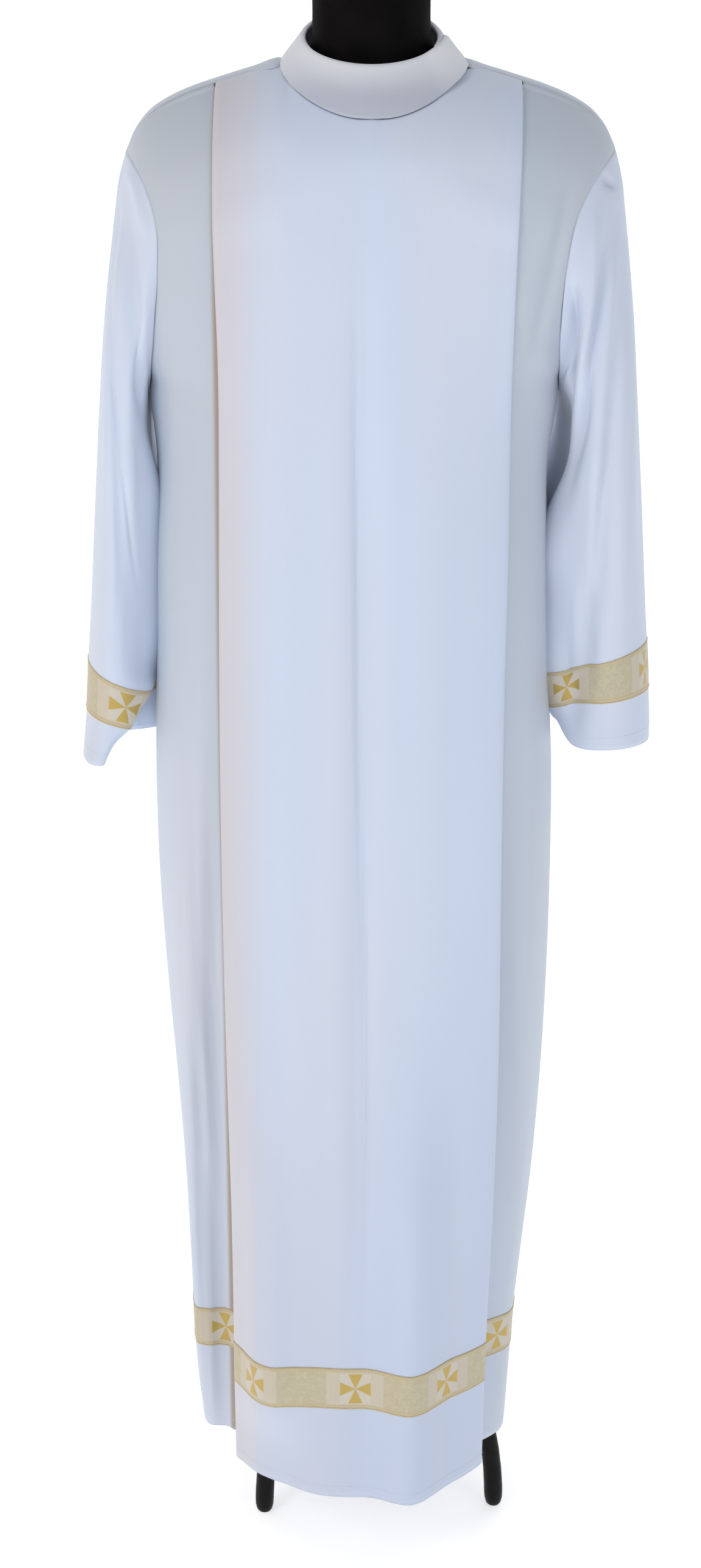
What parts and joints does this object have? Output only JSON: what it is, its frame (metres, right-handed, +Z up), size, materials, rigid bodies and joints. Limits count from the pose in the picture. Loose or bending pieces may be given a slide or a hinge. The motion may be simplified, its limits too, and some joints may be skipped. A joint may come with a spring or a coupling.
{
  "type": "alb robe on dress form stand",
  "caption": "White clergy alb with box pleats, turned collar and gold cross galloon at hem and cuffs, on a black limbless dress form with a tripod stand.",
  "frame": {"origin": "on the floor under the middle of the whole part's box, between the tripod's feet", "axes": "+Z up along the pole and neck, -Y out of the centre front, +X towards the robe's left sleeve, which is at the viewer's right"},
  "size_m": [0.609, 0.434, 1.719],
  "materials": {
    "cloth": "white light crepe, soft sheen",
    "galloon": "woven gold and beige ribbon with crosses",
    "form_cover": "black stretch jersey, matte",
    "stand_paint": "black satin paint"
  },
  "bodies": {
    "root": {"front_panel": "cloth", "front_side_left": "cloth", "front_side_right": "cloth", "back": "cloth", "sleeve_left": "cloth", "sleeve_right": "cloth", "collar": "cloth", "galloon_front": "galloon", "galloon_side_left": "galloon", "galloon_side_right": "galloon", "galloon_back": "galloon", "galloon_cuff_left": "galloon", "galloon_cuff_right": "galloon", "form_torso": "form_cover", "neck_cap": "stand_paint", "form_base": "stand_paint", "stand_pole": "stand_paint", "stand_hub": "stand_paint", "stand_leg_1": "stand_paint", "stand_leg_2": "stand_paint", "stand_leg_3": "stand_paint"}
  },
  "joints": []
}
